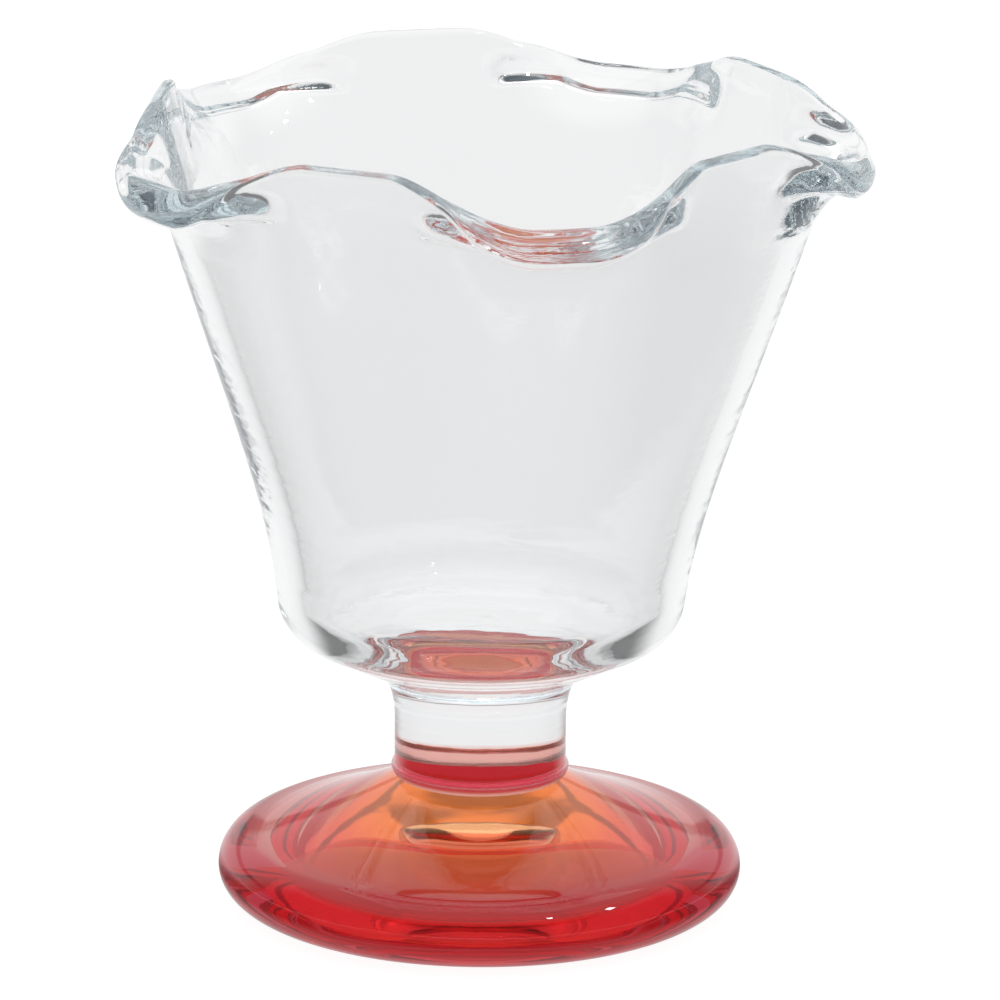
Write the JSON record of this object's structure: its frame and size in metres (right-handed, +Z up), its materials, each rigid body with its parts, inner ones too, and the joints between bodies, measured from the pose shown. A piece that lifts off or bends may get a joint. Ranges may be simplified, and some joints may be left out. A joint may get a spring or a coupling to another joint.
{
  "type": "parfait glass",
  "caption": "Footed clear glass bowl for ice cream with a ruffled, lobed rim, a short stem and a red-orange conical foot.",
  "frame": {"origin": "on the axis of the glass, in the plane of the table that its foot stands on", "axes": "+Z up along the axis of the glass; one of the five lobes of the rim faces -Y, the front"},
  "size_m": [0.1036, 0.1005, 0.1129],
  "materials": {
    "clear_glass": "clear, fire polished",
    "red_glass": "red-orange, translucent, fire polished"
  },
  "bodies": {
    "root": {"bowl": "clear_glass", "stem": "clear_glass", "foot": "red_glass"}
  },
  "joints": []
}
